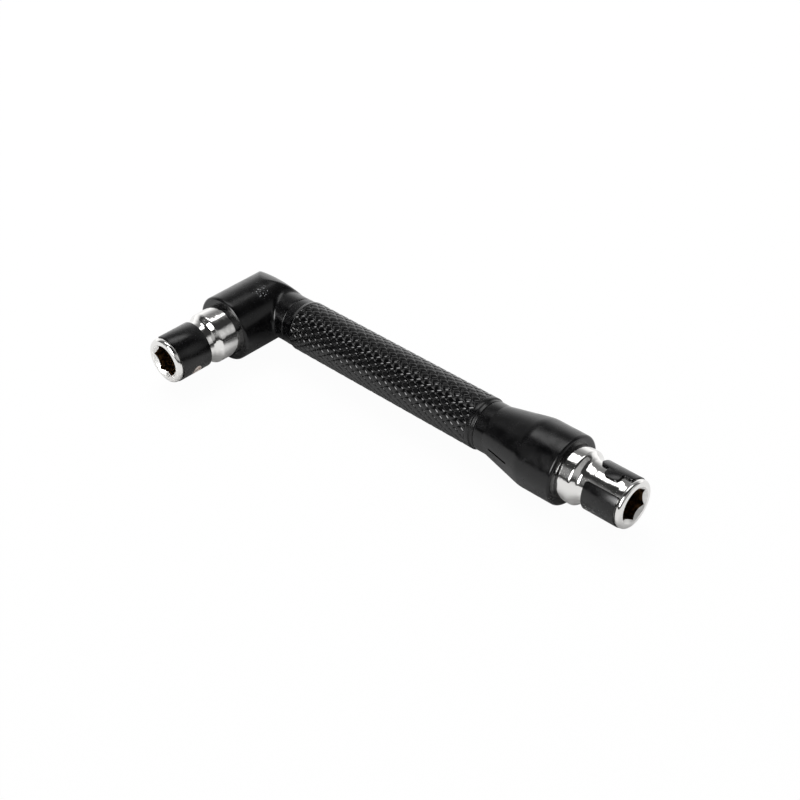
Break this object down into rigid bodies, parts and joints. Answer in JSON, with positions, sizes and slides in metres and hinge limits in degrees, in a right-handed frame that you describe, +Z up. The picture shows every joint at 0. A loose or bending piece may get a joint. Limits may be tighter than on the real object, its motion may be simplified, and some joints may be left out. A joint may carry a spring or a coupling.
{
  "type": "offset screwdriver",
  "caption": "L-shaped driver handle for hexagon bits: a knurled grip with a chromed hexagon socket on its end and another on a square elbow, each with a ball detent under a spring clip.",
  "frame": {"origin": "centre of the bounding box in X and Y, at the level of the surface that the tool lies on", "axes": "+X along the handle towards the end socket, -Y along the head socket towards its tip, +Z up from the surface"},
  "size_m": [0.1114, 0.0382, 0.0153],
  "materials": {
    "black_coating": "satin black coating on die-cast metal",
    "black_knurl": "black coated diamond knurl with flat crests",
    "chrome_plate": "polished chrome plate on steel",
    "black_spring_steel": "black oxide spring steel, semi-gloss",
    "bearing_steel": "polished bearing ball",
    "bright_steel": "drawn bright steel"
  },
  "bodies": {
    "tool": {"head_housing": "black_coating", "head_socket": "chrome_plate", "head_socket_clip": "black_spring_steel", "head_collar": "black_coating", "grip_sleeve": "black_knurl", "end_collar": "black_coating", "end_housing": "black_coating", "end_socket": "chrome_plate", "end_socket_clip": "black_spring_steel", "core_rod": "bright_steel", "rod_spring_pin": "bright_steel", "tie_screw": "bright_steel", "lock_washer": "bright_steel"},
    "head_ball": {"head_detent_ball": "bearing_steel"},
    "end_ball": {"end_detent_ball": "bearing_steel"}
  },
  "joints": [
    {"name": "head_detent", "type": "slide", "parent": "tool", "child": "head_ball", "axis": [0.8192, 0, -0.5736], "range_m": [0, 0.00033], "stiffness_N_per_m": 2000, "deforming": ["head_socket_clip"]},
    {"name": "end_detent", "type": "slide", "parent": "tool", "child": "end_ball", "axis": [0, 0.5, -0.866], "range_m": [0, 0.00033], "stiffness_N_per_m": 2000, "deforming": ["end_socket_clip"]}
  ]
}
